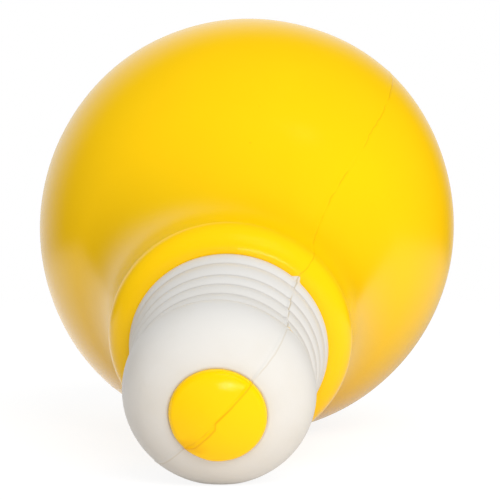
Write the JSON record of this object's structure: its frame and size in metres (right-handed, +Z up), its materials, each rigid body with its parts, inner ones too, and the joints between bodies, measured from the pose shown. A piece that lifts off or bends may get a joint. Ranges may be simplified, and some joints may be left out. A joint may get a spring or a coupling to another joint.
{
  "type": "stress ball",
  "caption": "Light-bulb-shaped foam stress ball lying on its side: yellow globe and neck, white ribbed cap, round yellow contact tip.",
  "frame": {"origin": "centre of the bounding box, on the surface the toy lies on", "axes": "+Y along the toy from the contact tip towards the globe, +Z up, +X to the right seen from the tip"},
  "size_m": [0.068, 0.1062, 0.0675],
  "materials": {
    "foam": "matte",
    "yellow_skin": "satin",
    "white_coat": "satin"
  },
  "bodies": {
    "root": {"foam_core": "foam", "foam_skin": "yellow_skin", "cap_coat": "white_coat"}
  },
  "joints": []
}
